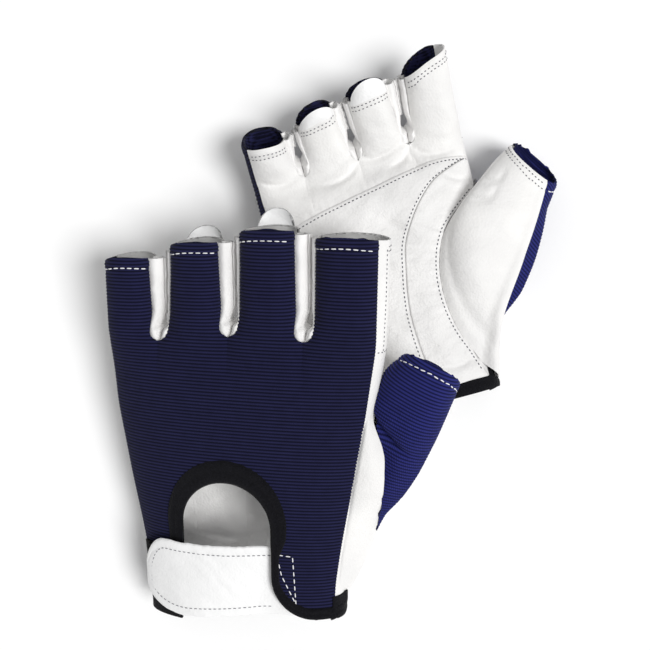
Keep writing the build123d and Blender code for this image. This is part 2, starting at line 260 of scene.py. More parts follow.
def through(points, t):
    """Smooth curve through points, at shares t of its length, or at a count of even steps."""
    points = np.asarray(points, float)
    t = np.linspace(0, 1, t) if isinstance(t, int) else t
    knots = lengths(points)
    t = t * knots[-1]
    slope = np.gradient(points, knots, axis=0)
    i = np.clip(np.searchsorted(knots, t, side="right") - 1, 0, len(knots) - 2)
    h = (knots[i + 1] - knots[i])[:, None]
    u = ((t - knots[i])[:, None]) / h
    first, last, start, end = points[i], points[i + 1], slope[i] * h, slope[i + 1] * h
    ends = (2 * u**3 - 3 * u**2 + 1) * first + (3 * u**2 - 2 * u**3) * last
    return ends + (u**3 - 2 * u**2 + u) * start + (u**3 - u**2) * end


def table(rows, column, y):
    """Value of a column of stations at y, without corners."""
    rows = np.asarray(rows, float)
    fine = np.linspace(rows[0, 0], rows[-1, 0], 400)
    width = 19
    padded = np.pad(np.interp(fine, rows[:, 0], rows[:, column]), width, mode="reflect", reflect_type="odd")
    weights = np.hanning(2 * width + 1)
    return np.interp(y, fine, np.convolve(padded, weights / weights.sum(), "valid"))


def coons(base, rim, first, last, s=None, t=None):
    """Patch between four edges: base and rim run along s, first and last along t. Gives [t, s]."""
    s = (np.linspace(0, 1, len(base)) if s is None else s)[None, :, None]
    t = (np.linspace(0, 1, len(first)) if t is None else t)[:, None, None]
    along = (1 - t) * base[None] + t * rim[None]
    across = (1 - s) * first[:, None] + s * last[:, None]
    corners = (1 - s) * (1 - t) * base[0] + s * (1 - t) * base[-1] + (1 - s) * t * rim[0] + s * t * rim[-1]
    return along + across - corners


def ripple(x, y, seed, size, height):
    """Gentle uneven waves of leather, the same each time."""
    rng = np.random.default_rng(seed)
    total = np.zeros(np.broadcast(x, y).shape)
    for _ in range(9):
        angle, phase = rng.uniform(0, np.pi), rng.uniform(0, 2 * np.pi)
        length = size * rng.uniform(0.6, 1.8)
        wave = (x * np.cos(angle) + y * np.sin(angle)) * 2 * np.pi / length
        total += np.sin(wave + phase + 1.3 * np.sin(wave * 0.37 + phase * 2))
    return total * height / 3.5


def nearest(x, y, line):
    """Squared distance to a line on the palm, and where along it, as a share, with its length."""
    pts = through(line, 40)
    a, b = pts[:-1], pts[1:]
    shape = np.broadcast(x, y).shape
    best, where = np.full(shape, 1e9), np.zeros(shape)
    for k in range(len(a)):
        d = b[k] - a[k]
        u = np.clip(((x - a[k][0]) * d[0] + (y - a[k][1]) * d[1]) / (d @ d), 0, 1)
        dist = (x - a[k][0] - u * d[0]) ** 2 + (y - a[k][1] - u * d[1]) ** 2
        near = dist < best
        best, where = np.where(near, dist, best), np.where(near, (k + u) / len(a), where)
    return best, where, lengths(pts)[-1]


def groove(x, y, line, depth, width):
    """Depth of a soft groove along a line on the palm."""
    best, where, _ = nearest(x, y, line)
    return depth * np.exp(-best / width**2) * np.sin(np.pi * np.clip(where, 0.02, 0.98)) ** 0.7


def pucker(x, y, line, depth, reach, pitch):
    """Small gathers of the leather across a seam."""
    best, where, length = nearest(x, y, line)
    s = where * length
    wave = np.sin(2 * np.pi * s / pitch + 1.7 * np.sin(s * 0.31)) * (0.6 + 0.4 * np.sin(s * 0.83))
    return depth * wave * np.exp(-best / reach**2)


# ---- Frames of the gloves ----
def glove_frame(side):
    """Origin and axes of a glove, from its joints. The third axis is out of the back."""
    sign = 1.0 if side == "left" else -1.0
    x = unit(-sign * np.array(JOINTS[f"{side}_index_bend"]["axis"], float))
    y = unit(sign * np.array(JOINTS[f"{side}_strap_open"]["axis"], float))
    z = sign * np.cross(x, y)
    hinge = np.array(JOINTS[f"{side}_index_bend"]["pos_m"], float) / MM
    origin = hinge - INDEX_HINGE_X[side] * x - (HAND_END[side] + HINGE_PAST) * y + HINGE_DROP * z
    return origin, np.stack([x, y, z])


FRAMES = {side: glove_frame(side) for side in SIDES}


def to_world(side, points):
    origin, axes = FRAMES[side]
    return (np.asarray(points, float).reshape(-1, 3) @ axes + origin) * MM


# ---- Skin of the glove ----
def sections(side, y):
    return tuple(table(OUTLINE[side], column, y) for column in (1, 2, 3))


def slit_gap(side, number, y):
    """Middle and half gap of a slit between two stalls."""
    x0, x1, bottom, gap = SLITS[side][number]
    rise = RIMS[side][FINGERS[number]][1] - bottom
    r = SLIT_ROUND[side]
    d = y - bottom
    half = np.sqrt(np.clip(r * r - (r - np.clip(d, 0, r)) ** 2, 0, None))
    half = half + (gap - r) * ease((d - r) / (rise - r))
    left, right, _ = sections(side, y)
    first, last, _ = sections(side, np.full_like(y, bottom))
    keep = left + (x0 - first) / (last - first) * (right - left)
    below = x0 + (keep - x0) * ease(3 * (bottom - y) / bottom)
    return np.where(d > 0, x0 + (x1 - x0) * np.clip(d / rise, 0, 1), below), half


def ray_limits(side, ray, y):
    """Both edges of a ray of the glove, the hand part and its stall, at stations y."""
    low, high, _ = sections(side, y)
    if ray > 0:
        x, gap = slit_gap(side, ray - 1, y)
        low = x + gap
    if ray < 3:
        x, gap = slit_gap(side, ray, y)
        high = x - gap
    return low, high


def ray_ends(ray):
    """Places across a ray where its skin ends: its edge, or the seam of a side strip."""
    return (-1.0 if ray == 0 else -INNER_SEAM), (1.0 if ray == 3 else INNER_SEAM)


def slack(side, ray, y, c):
    """How far the skin follows a stall's round side: little between two rays, fully beside a slit."""
    slit = np.where(c > 0, ray, ray - 1)
    bottom = np.array([s[2] for s in SLITS[side]])[np.clip(slit, 0, 2)]
    inner = (slit >= 0) & (slit <= 2)
    return np.where(inner, 0.74 + 0.26 * ease((y - bottom + 2) / 13), 1.0)


def over_hand(side, x, y):
    """Height of the hand's plain oval."""
    left, right, thick = sections(side, y)
    return thick * oval((x - (left + right) / 2) / ((right - left) / 2))


def skin(side, ray, y, c, upper):
    """Point of the outer skin: y, and place c across the ray from -1 to 1, above or below the edge."""
    low, high = ray_limits(side, ray, y)
    first, last = ray_ends(ray)
    x = low + (c - first) / (last - first) * (high - low)
    if ray == 3:
        edge = table(BACK_EDGE[side], 1, y)
        inside = low + (c + INNER_SEAM) / (THUMB_SIDE_SEAM + INNER_SEAM) * (edge - low)
        outside = edge + (c - THUMB_SIDE_SEAM) / (1 - THUMB_SIDE_SEAM) * (high - edge)
        x = np.where(upper > 0, np.where(c <= THUMB_SIDE_SEAM, inside, outside), x)
    flat = over_hand(side, x, y)
    root, tip = STALL_THICK
    stall = root + (tip - root) * np.clip((y - HAND_END[side]) / STALL_LENGTH, 0, 1)
    arch = stall * oval(c * slack(side, ray, y, c))
    return np.stack([x, y, (flat + (arch - flat) * zone(ARCH_ZONE[side], y)) * upper], -1)


def height(side, x, y, upper=1.0):
    """Height of the skin over the hand at any place below the slits."""
    flat = over_hand(side, x, y)
    arch = np.zeros(np.broadcast(x, y).shape)
    for ray in range(4):
        low, high = ray_limits(side, ray, y)
        first, last = ray_ends(ray)
        c = first + (x - low) / (high - low) * (last - first)
        inside = (x >= low) & (x <= high)
        arch = np.where(inside, STALL_THICK[0] * oval(c * slack(side, ray, y, c)), arch)
    return (flat + (arch - flat) * zone(ARCH_ZONE[side], y)) * upper


def curled(side, points, degrees):
    """Points turned about the stalls' hinge, as the glove lies at rest."""
    angle = np.radians(degrees) * zone(CURL_ZONE[side], points[..., 1])
    hinge = HAND_END[side] + HINGE_PAST
    dy, dz = points[..., 1] - hinge, points[..., 2] + HINGE_DROP
    out = points.copy()
    out[..., 1] = hinge + dy * np.cos(angle) + dz * np.sin(angle)
    out[..., 2] = -HINGE_DROP - dy * np.sin(angle) + dz * np.cos(angle)
    return out


def bend(side, finger, points):
    return curled(side, points, CURL[side][finger])


def bend_hand(side, points):
    """Curls the hand's own skin near the knuckles, going smoothly from one stall's curl to the next."""
    centres = [float(sum(ray_limits(side, ray, np.array(HAND_END[side])))) / 2 for ray in range(4)]
    return curled(side, points, np.interp(points[..., 0], centres, [CURL[side][f] for f in FINGERS]))


# ---- Meshes ----
def normals_of(grid, hint=None):
    """Unit normals of a grid of points, on the side of a hint direction if there is one."""
    n = unit(np.cross(np.gradient(grid, axis=0), np.gradient(grid, axis=1)))
    return n if hint is None else n * np.sign(np.sum(n * hint))


def outward(grid, hint):
    """Grid and normals on the side of a hint direction, its columns in the order that faces need."""
    n = hint if np.ndim(hint) == 3 else normals_of(grid, hint)
    return (grid[:, ::-1], n[:, ::-1]) if np.sum(normals_of(grid) * n) < 0 else (grid, n)


def bend_ends(side, body):
    """Where a piece starts and ends its bend out of the hand into its body."""
    if body == "thumb":
        return (53.0, 62.0, 0.0), (66.0, 78.0, 0.0)
    if body == "strap":
        return (STRAP["fold"] + 5.0, 15.0, 12.0), (STRAP["fold"] - 4.0, 15.0, 12.0)
    x = {"left": 0.0, "right": 5.0}[side]
    return [bend(side, body, np.array([x, HAND_END[side] + past, 0.0])) for past in (0.0, BLEND_LENGTH)]


def mesh_object(side, name, verts, faces, normals, material, body, nodes=(), uv=None, rigid=False):
    """A smooth mesh from points and quads of a glove's frame, in place of CAD nodes: put on the hand's body,
    or on its own body when rigid; other pieces are baked where they lie.
    """
    if side == "right":
        faces = faces[:, ::-1]
    name = f"{side}_{name}"
    mesh = bpy.data.meshes.new(name)
    mesh.from_pydata(to_world(side, verts).tolist(), [], faces.tolist())
    mesh.shade_smooth()
    if uv is not None:
        layer = mesh.uv_layers.new(name="UVMap")
        index = np.empty(len(mesh.loops), np.int32)
        mesh.loops.foreach_get("vertex_index", index)
        layer.data.foreach_set("uv", np.asarray(uv, np.float32)[index].ravel())
    if normals is not None:
        mesh.normals_split_custom_set_from_vertices((normals @ FRAMES[side][1]).tolist())
    look, slot = MATERIALS[material]
    mesh.materials.append(look)
    obj = bpy.data.objects.new(name, mesh)
    bpy.context.scene.collection.objects.link(obj)
    if body == "hand" or rigid:
        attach(obj, f"{side}_{body}")
    else:
        start, end = to_world(side, bend_ends(side, body))
        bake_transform(obj)
    if nodes:
        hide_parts(*(f"{side}_{node}" for node in nodes))


def shell_arrays(grid, normals, thick, start):
    """Vertices, faces and normals of a sheet of some thickness under a grid."""
    rows, cols = grid.shape[:2]
    outer, n = grid.reshape(-1, 3), normals.reshape(-1, 3)
    wall = np.broadcast_to(thick, grid.shape[:2]).reshape(-1, 1)
    i = np.arange(rows - 1)[:, None] * cols + np.arange(cols - 1)[None, :] + start
    top = np.stack([i, i + cols, i + cols + 1, i + 1], -1).reshape(-1, 4)
    ring = np.concatenate(
        [
            np.arange(cols - 1),
            np.arange(rows - 1) * cols + cols - 1,
            (rows - 1) * cols + np.arange(cols - 1, 0, -1),
            np.arange(rows - 1, 0, -1) * cols,
        ]
    )
    after = np.roll(ring, -1)
    edge = np.stack([ring, after, after + rows * cols, ring + rows * cols], -1) + start
    faces = np.concatenate([top, (top + rows * cols)[:, ::-1], edge])
    return np.concatenate([outer, outer - n * wall]), faces, np.concatenate([n, -n])


def sheet(side, name, pieces, thick, material, body, *nodes, uv=None, rigid=False):
    """One object from grids of points, each with its outward normals or a hint direction."""
    parts, places, start = [], [], 0
    for piece in pieces:
        grid, n = outward(*piece)
        parts.append(shell_arrays(grid, n, thick, start))
        places += [(grid[..., :2] if uv is None else uv).reshape(-1, 2)] * 2
        start += 2 * grid.shape[0] * grid.shape[1]
    verts, faces, normals = (np.concatenate(p) for p in zip(*parts))
    mesh_object(side, name, verts, faces, normals, material, body, nodes, np.concatenate(places), rigid)


# ---- Threads ----
AROUND = 6
# a stitch from end to end: place, share of its thickness
BEAD = np.array([(-1.0, 0.15), (-0.86, 0.75), (-0.45, 1.0), (0.45, 1.0), (0.86, 0.75), (1.0, 0.15)])
BEAD_FLAT, BEAD_LIFT = 0.6, 0.25


def bead_faces():
    """Quads of a stitch: its length, then the two halves of each round end."""
    faces = []
    for r in range(0, (len(BEAD) - 1) * AROUND, AROUND):
        for q in range(AROUND):
            n = (q + 1) % AROUND
            faces.append([r + q, r + n, r + AROUND + n, r + AROUND + q])
    end = (len(BEAD) - 1) * AROUND
    faces += [[0, 5, 4, 3], [0, 3, 2, 1], [end, end + 1, end + 2, end + 3], [end, end + 3, end + 4, end + 5]]
    return np.array(faces)


def dashes(side, name, lines, kind, body):
    """Rows of stitches: each a short rounded bead of thread lying on the surface."""
    dash, gap, radius, material = STITCHES[kind]
    ring = np.linspace(0, 2 * np.pi, AROUND + 1)[None, :-1, None]
    size = (BEAD[:, 1] * radius)[:, None, None]
    verts = []
    for line, up in lines:
        keys = lengths(line)
        for k in range(int(keys[-1] / (dash + gap))):
            spots = (k + 0.5) * (dash + gap) + BEAD[:, 0] * dash / 2
            centre, u = along_line(spots, keys, line), unit(along_line(spots, keys, up))
            w = unit(np.cross(np.gradient(centre, axis=0), u), 1e-9)[:, None] * size
            u = u[:, None]
            lifted = centre[:, None] + u * radius * BEAD_LIFT
            verts.append((lifted + np.cos(ring) * w + np.sin(ring) * u * size * BEAD_FLAT).reshape(-1, 3))
    starts = np.arange(len(verts))[:, None, None] * len(BEAD) * AROUND
    faces = (bead_faces() + starts).reshape(-1, 4)
    mesh_object(side, name, np.concatenate(verts), faces, None, material, body)


def flat_line(line, up):
    """Line of stitches that all lie the same way."""
    return line, np.tile(up, (len(line), 1))


def stitch_row(grid, n, distance, back, cols):
    """Line of stitches on some columns of a grid, some way back from its rim."""
    near = np.argmin(np.abs(distance - back), axis=0)[cols]
    return grid[near, cols] + n[near, cols] * STITCH_LIFT, n[near, cols]


# ---- Materials ----
def colour(hex_text):
    """Linear colour of an sRGB hex text."""
    out = []
    for k in (0, 2, 4):
        c = int(hex_text[k : k + 2], 16) / 255
        out.append(c / 12.92 if c <= 0.04045 else ((c + 0.055) / 1.055) ** 2.4)
    return (*out, 1.0)


def shader(name, values):
    material = bpy.data.materials.new(name)
    material.use_nodes = True
    bsdf = material.node_tree.nodes["Principled BSDF"]
    for socket, value in values.items():
        bsdf.inputs[socket].default_value = value
    return material, material.node_tree, bsdf


def add(tree, kind, values=(), links=(), **settings):
    """A node with settings of its own, values on its sockets and links into them."""
    node = tree.nodes.new(kind)
    for key, value in settings.items():
        setattr(node, key, value)
    for socket, value in dict(values).items():
        node.inputs[socket].default_value = value
    for socket, source in dict(links).items():
        tree.links.new(source, node.inputs[socket])
    return node


def noise(tree, place, scale, detail, rough=0.5):
    values = {"Scale": scale, "Detail": detail, "Roughness": rough}
    return add(tree, "ShaderNodeTexNoise", values, {"Vector": place}).outputs["Fac"]


def pebbles(tree, place, scale):
    return add(tree, "ShaderNodeTexVoronoi", {"Scale": scale}, {"Vector": place}).outputs["Distance"]


def ramp(tree, source, low, high, first, last):
    node = add(tree, "ShaderNodeValToRGB", links={"Fac": source})
    for element, position, tone in zip(node.color_ramp.elements, (low, high), (first, last)):
        element.position, element.color = position, tone
    return node.outputs["Color"]


def bump(tree, source, distance, strength, bsdf, under=None):
    links = {"Height": source} if under is None else {"Height": source, "Normal": under}
    node = add(tree, "ShaderNodeBump", {"Distance": distance, "Strength": strength}, links)
    tree.links.new(node.outputs["Normal"], bsdf.inputs["Normal"])
    return node.outputs["Normal"]


def ribbed_cloth(name, dark, light):
    """Ribbed knit: painted shade in the valleys between the ribs and painted light on their tops, a fine
    weave over them.
    """
    values = {"Roughness": 0.9, "Sheen Weight": 0.04, "Sheen Roughness": 0.5, "Specular IOR Level": 0.12}
    material, tree, bsdf = shader(name, values)
    place = add(tree, "ShaderNodeTexCoord").outputs["Object"]
    uv = add(tree, "ShaderNodeUVMap").outputs["UV"]
    station = add(tree, "ShaderNodeSeparateXYZ", links={"Vector": uv}).outputs["Y"]
    # a wave along the rib pitch paints shade into each rib's valley and light onto its top
    wave = add(tree, "ShaderNodeMath", {1: 2 * np.pi / RIB}, {0: station}, operation="MULTIPLY")
    wave = add(tree, "ShaderNodeMath", links={0: wave.outputs[0]}, operation="COSINE")
    wave = add(tree, "ShaderNodeMath", {1: 0.5, 2: 0.5}, {0: wave.outputs[0]}, operation="MULTIPLY_ADD")
    ribs_with_painted_valley_shade = ramp(tree, wave.outputs[0], 0.05, 0.85, colour(dark), colour(light))
    worn = ramp(tree, noise(tree, place, 220.0, 3.0), 0.3, 0.7, (0.55, 0.55, 0.55, 1), (1, 1, 1, 1))
    kind = {"data_type": "RGBA", "blend_type": "MULTIPLY"}
    mix = add(tree, "ShaderNodeMix", {"Factor": 0.35}, {"A": ribs_with_painted_valley_shade, "B": worn}, **kind)
    tree.links.new(mix.outputs["Result"], bsdf.inputs["Base Color"])
    bump(tree, pebbles(tree, place, 2600.0), 0.0002, 0.5, bsdf)
    return material


def leather(name, light, shaded, rough, grain):
    """Leather: fine pebble grain, soft clouds of colour."""
    material, tree, bsdf = shader(name, {"Roughness": rough})
    place = add(tree, "ShaderNodeTexCoord").outputs["Object"]
    tone = ramp(tree, noise(tree, place, 45.0, 3.0), 0.35, 0.7, colour(shaded), colour(light))
    tree.links.new(tone, bsdf.inputs["Base Color"])
    first = bump(tree, pebbles(tree, place, 1100.0), 0.0003, grain, bsdf)
    bump(tree, noise(tree, place, 260.0, 4.0, 0.6), 0.0007, grain * 1.2, bsdf, first)
    return material


def felt(name, dark, light, scale):
    """Black tape and hook-and-loop: fuzzy, matte."""
    values = {"Roughness": 0.95, "Sheen Weight": 0.05, "Sheen Roughness": 0.5, "Specular IOR Level": 0.15}
    material, tree, bsdf = shader(name, values)
    fuzz = noise(tree, add(tree, "ShaderNodeTexCoord").outputs["Object"], scale, 4.0, 0.7)
    tree.links.new(ramp(tree, fuzz, 0.35, 0.7, colour(dark), colour(light)), bsdf.inputs["Base Color"])
    bump(tree, fuzz, 0.0005, 0.8, bsdf)
    return material


def plain(name, hex_text, rough):
    return shader(name, {"Roughness": rough, "Base Color": colour(hex_text)})[0]


# look and slot of each material
MATERIALS = {
    # both ribbed cloths: navy, with painted shade in the rib valleys and painted light on the rib tops
    "navy": (ribbed_cloth("navy_ribbed_cloth", "0a0b20", "232448"), "navy_cloth"),
    "thumb_navy": (ribbed_cloth("thumb_ribbed_cloth", "10133c", "2c3076"), "navy_cloth"),
    "leather": (leather("white_palm_leather", "f1f0ee", "e6e5e4", 0.6, 0.32), "white_leather"),
    "patch": (leather("white_patch_leather", "efeeed", "e5e4e3", 0.58, 0.4), "white_leather"),
    "strap": (leather("white_strap_leather", "fbfbfb", "f4f4f4", 0.55, 0.3), "strap_leather"),
    "strip": (leather("white_strip_leather", "f6f5f4", "ebeae9", 0.75, 0.25), "white_leather"),
    "tape": (felt("black_tape", "050508", "15151b", 1500.0), "black_tape"),
    "loop": (felt("loop_tape", "060608", "18181d", 2600.0), "loop_tape"),
    "hook": (felt("hook_tape", "050506", "141418", 3200.0), "hook_tape"),
    "thread": (plain("white_thread", "f2f2f4", 0.6), "white_leather"),
    # grey and dark threads: grey thread darkened with painted shade of the stitch holes
    "grey_thread_darkened_by_painted_shade": (plain("grey_thread_darkened_by_painted_shade", "77777d", 0.7), "strap_leather"),
    "thread_darkened_by_painted_shade": (plain("thread_darkened_by_painted_shade", "56565e", 0.7), "white_leather"),
}


# ---- Back and palm of the hand, with the stalls ----
def rim_line(side, finger, c):
    a, b = RIMS[side][finger]
    return a + (b - a) * (c + 1) / 2 + 1.2 * (1 - c * c) - 0.6


def hem(gap):
    """Folded hem at a distance from the rim: a sunk line where it is stitched, and a rounded edge."""
    return 0.28 * bell(gap - HEM, 0.7) + 0.45 * bell(gap, 0.8) - 0.22 * (gap < HEM + 0.2) * ease(gap)


def skin_rays(side, direction, counts, row):
    """Skin of the four rays, from the wrist edge to their rims, in finer columns where it turns down."""
    shares = np.array([INNER_SEAM, LITTLE_WRAP[side], THUMB_SIDE_SEAM])
    seam, wrap, thumb = np.arccos(shares ** (POWER / 2)) * [direction, 1, 1]
    turn = 0.0 if direction > 0 else 2 * np.pi
    starts = [np.pi + wrap] + [np.pi - seam] * 3
    ends = [turn + seam] * 3 + [turn + thumb]
    hand = np.arange(0.0, HAND_END[side], row)
    rays = []
    for number, finger in enumerate(FINGERS):
        angle = np.linspace(starts[number], ends[number], counts[number])
        c = signed_power(np.cos(angle), 2 / POWER)
        upper = np.where(np.sin(angle) >= -1e-9, 1.0, -1.0)
        rim = rim_line(side, finger, c)
        t = np.linspace(0, 1, int((rim.mean() - HAND_END[side]) / row))[:, None]
        stall = HAND_END[side] + t * (rim[None] - HAND_END[side])
        y = np.concatenate([np.broadcast_to(hand[:, None], (len(hand), len(c))), stall])
        ray = SimpleNamespace(finger=finger, y=y, rows=len(hand), c=c, upper=upper, gap=rim - y)
        ray.grid = skin(side, number, y, np.broadcast_to(c, y.shape), np.broadcast_to(upper, y.shape))
        rays.append(ray)
    return rays


def join_rays(side, rays, direction):
    """Curls the rays and gives them outward normals. Neighbours meet in one line below their slit."""
    for ray in rays:
        ray.grid = bend_hand(side, ray.grid)
    pairs = list(zip(rays[:-1], rays[1:], SLITS[side]))
    for a, b, slit in pairs:
        count = int((a.y[: a.rows, -1] < slit[2]).sum())
        a.grid[:count, -1] = b.grid[:count, 0] = (a.grid[:count, -1] + b.grid[:count, 0]) / 2
    for ray in rays:
        ray.n = normals_of(ray.grid, (ray.upper * direction > 0)[:, None] * direction * UP)
    for a, b, slit in pairs:
        count = int((a.y[: a.rows + 30, -1] < slit[2]).sum())
        a.n[:count, -1] = b.n[:count, 0] = unit(a.n[:count, -1] + b.n[:count, 0])


def stall_objects(side, rays, look, material, node):
    for ray in rays:
        piece = ray.grid[ray.rows :], ray.n[ray.rows :]
        sheet(side, f"{ray.finger}_{look}", [piece], CLOTH, material, ray.finger, f"{ray.finger}_{node}")


def vent_edge(direction):
    """Half of the vent's outline, from the middle of its top to the wrist edge."""
    middle, r, corner = VENT["middle"], VENT["radius"], VENT["corner"]
    spring = VENT["top"] - r
    line = [(direction * r * np.sin(a), spring + r * np.cos(a)) for a in np.linspace(0, np.pi / 2, 24)]
    last, count = (0, 14) if direction < 0 else (corner + 1, 8)
    line += [(direction * r, y) for y in np.linspace(spring - 2, last, count)]
    if direction > 0:
        turn = np.linspace(0, np.pi / 2, 14)
        line += [(r + corner - corner * np.cos(a), corner - corner * np.sin(a)) for a in turn]
    return np.array(line) + [middle, 0]


def beside_vent(rays, direction, row_top):
    """Cloth beside the vent, from the glove's outer edge to the vent, or to its middle above it."""
    all_x, all_z = (np.concatenate([ray.grid[: row_top + 1, :, axis] for ray in rays], 1) for axis in (0, 2))
    station = np.arange(row_top + 1) * ROW
    line = vent_edge(direction)[::-1]
    line = line[np.argsort(line[:, 1], kind="stable")]
    limit = np.interp(station, line[:, 1], line[:, 0])
    steps, kept = 54, 10
    strip = np.empty((row_top + 1, steps, 3))
    for r, (x, z) in enumerate(zip(all_x, all_z)):
        turn = np.argmin(x)
        lead = slice(0, turn + kept) if direction < 0 else slice(-1, -kept - 1, -1)
        inner = direction * max(direction * limit[r], direction * VENT["middle"])
        body = np.linspace(x[lead][-1], inner, steps - len(x[lead]) + 1)[1:]
        strip[r, :, 0] = np.concatenate([x[lead], body])
        strip[r, :, 1] = station[r]
        strip[r, :, 2] = np.concatenate([z[lead], np.interp(body, x[turn:], z[turn:])])
    return strip[:, ::-direction], UP


def back_objects(side):
    """Ribbed cloth of the back, and of each stall's back."""
    rays = skin_rays(side, 1, [34] * 4, ROW)
    for ray in rays:
        n = normals_of(ray.grid, (ray.upper > 0)[:, None] * UP)
        ray.grid = ray.grid + n * (RIB_HEIGHT * np.cos(2 * np.pi * ray.y / RIB) - hem(ray.gap))[..., None]
    join_rays(side, rays, 1)
    row_top = int(np.ceil(VENT["top"] / ROW))
    pieces = [(ray.grid[row_top : ray.rows + 1], ray.n[row_top : ray.rows + 1]) for ray in rays]
    pieces += [beside_vent(rays, direction, row_top) for direction in (-1, 1)]
    sheet(side, "back_cloth", pieces, CLOTH, "navy", "hand", "back_panel")
    stall_objects(side, rays, "back_cloth", "navy", "back")
    return rays


def palm_relief(side, x, y):
    """Creases, gathers and waves of the palm leather, positive into the hand."""
    total = ripple(x, y, 3 if side == "left" else 5, 26.0, 0.5) + ripple(x, y, 11, 8.0, 0.14)
    for line, depth, width in CREASES:
        total = total + groove(x, y, line, depth, width)
    for line, depth, reach, pitch in (
        (PATCH_EDGE[side], 0.22, 4.0, 3.7), (CRESCENT, 0.2, 3.5, 3.1), (THUMB_LINE, 0.3, 4.5, 3.4),
    ):
        total = total + pucker(x, y, line, depth, reach, pitch)
    return total


def palm_objects(side):
    """Leather of the palm, and of each stall's palm side."""
    rays = skin_rays(side, -1, [30, 30, 30, 40], LEATHER_ROW)
    for ray in rays:
        below = np.where(ray.upper > 0, 0.0, 1.0)
        fade = below * np.clip((1 - np.abs(ray.c)) * 12, 0, 1) * ease((ray.y - 4.0) / 6.0)
        ray.grid[..., 2] += palm_relief(side, ray.grid[..., 0], ray.y) * fade + hem(ray.gap) * below
    join_rays(side, rays, -1)
    pieces = [(ray.grid[: ray.rows + 1], ray.n[: ray.rows + 1]) for ray in rays]
    sheet(side, "palm_leather", pieces, CLOTH, "leather", "hand", "palm_panel")
    stall_objects(side, rays, "palm_leather", "leather", "front")
    return rays


def strip_grid(side, number, direction, seed):
    """Skin of a side strip: from the stall's back into the slit, down, and out to the palm side."""
    ray = number if direction > 0 else number + 1
    near, far = (FINGERS[number], FINGERS[number + 1])[::direction]
    near, far = RIMS[side][near][direction > 0], RIMS[side][far][direction < 0]
    bottom = SLITS[side][number][2]
    y = np.linspace(bottom - 1.2, (near + min(near, far)) / 2 - 0.8, 56)
    middle, half = slit_gap(side, number, y)
    seam = np.full_like(y, INNER_SEAM * direction)
    d = np.clip(y - bottom, 0, None)
    opening = 0.62 * ease((d - 3.4) / 2.0) + 1.3 * ease((d - 3.4) / 1.4) * bell(d - 5.4, 4.0)
    end = middle + SLIT_SHARE[side] * half * ease(d / 8) - direction * opening
    phi = np.linspace(0, 1, 12)
    roll = 1.2 * np.sin(np.pi * np.clip(phi * 1.05, 0, 1)) * np.clip(d / 3.0, 0, 1)[:, None]
    edges = [skin(side, ray, y, seam, np.full_like(y, upper)) for upper in (1, -1)]
    edges = [edge - [direction, 0, inset] for edge, inset in zip(edges, (0.9, -0.9))]
    drop = np.minimum(3.6, 0.8 + np.abs(end - edges[0][:, 0]) * 0.7)[:, None] * phi**4.5 - roll
    upper_x, under_x = (edge[:, :1] + (end[:, None] - edge[:, :1]) * phi**0.85 for edge in edges)
    upper_z, under_z = edges[0][:, 2:] - drop, edges[1][:, 2:] + drop
    wall = upper_z[:, -1:] + (under_z[:, -1:] - upper_z[:, -1:]) * np.linspace(0, 1, 6)[1:-1]
    xs = np.concatenate([upper_x, np.repeat(end[:, None], 4, 1), under_x[:, ::-1]], 1)
    zs = np.concatenate([upper_z, wall, under_z[:, ::-1]], 1)
    grid = points(xs, y[:, None], zs)
    grid[..., 0] += ripple(grid[..., 1] * 2, grid[..., 2], seed, 11.0, 0.12)
    grid[..., 2] += ripple(grid[..., 1] * 1.5, grid[..., 0], seed + 7, 9.0, 0.14)
    return FINGERS[ray], bend(side, FINGERS[ray], grid)


def side_strips(side):
    """White strips between the stalls: each folds out of the slit and meets its neighbour."""
    for number in range(3):
        for name, direction, seed in (("inner", 1, number), ("outer", -1, number + 20)):
            finger, grid = strip_grid(side, number, direction, seed)
            piece, node = (grid, np.array([direction, 0, 0])), f"{finger}_side_strip_{name}"
            sheet(side, f"{finger}_strip_{name}", [piece], 0.9, "strip", finger, node)


# ---- Patch and crescent of the palm ----
def packed(count, edge=0.012):
    """Shares from 0 to 1 with two close ones at each end, for a rounded edge."""
    ends = np.array([0, edge * 0.5, edge])
    return np.concatenate([ends, np.linspace(edge, 1 - edge, count)[1:-1], 1 - ends[::-1]])


def overlay(side, name, edges, shares, thick, node):
    """A flat outline laid on the palm, with a rounded edge."""
    s, t = shares
    flat = coons(*(through(edge, share) for edge, share in zip(edges, (s, s, t, t))), s, t)
    x, y = flat[..., 0], flat[..., 1]
    i, j = (np.minimum(np.arange(n), np.arange(n)[::-1]) for n in x.shape)
    rim = np.clip(np.minimum(i[:, None], j[None, :]), 0, 2)
    z = height(side, x, y, -1.0) - thick * np.array([0.1, 0.8, 1.0])[rim] + palm_relief(side, x, y)
    sheet(side, name, [(bend_hand(side, points(x, y, z)), DOWN)], 0.5, "patch", "hand", node)


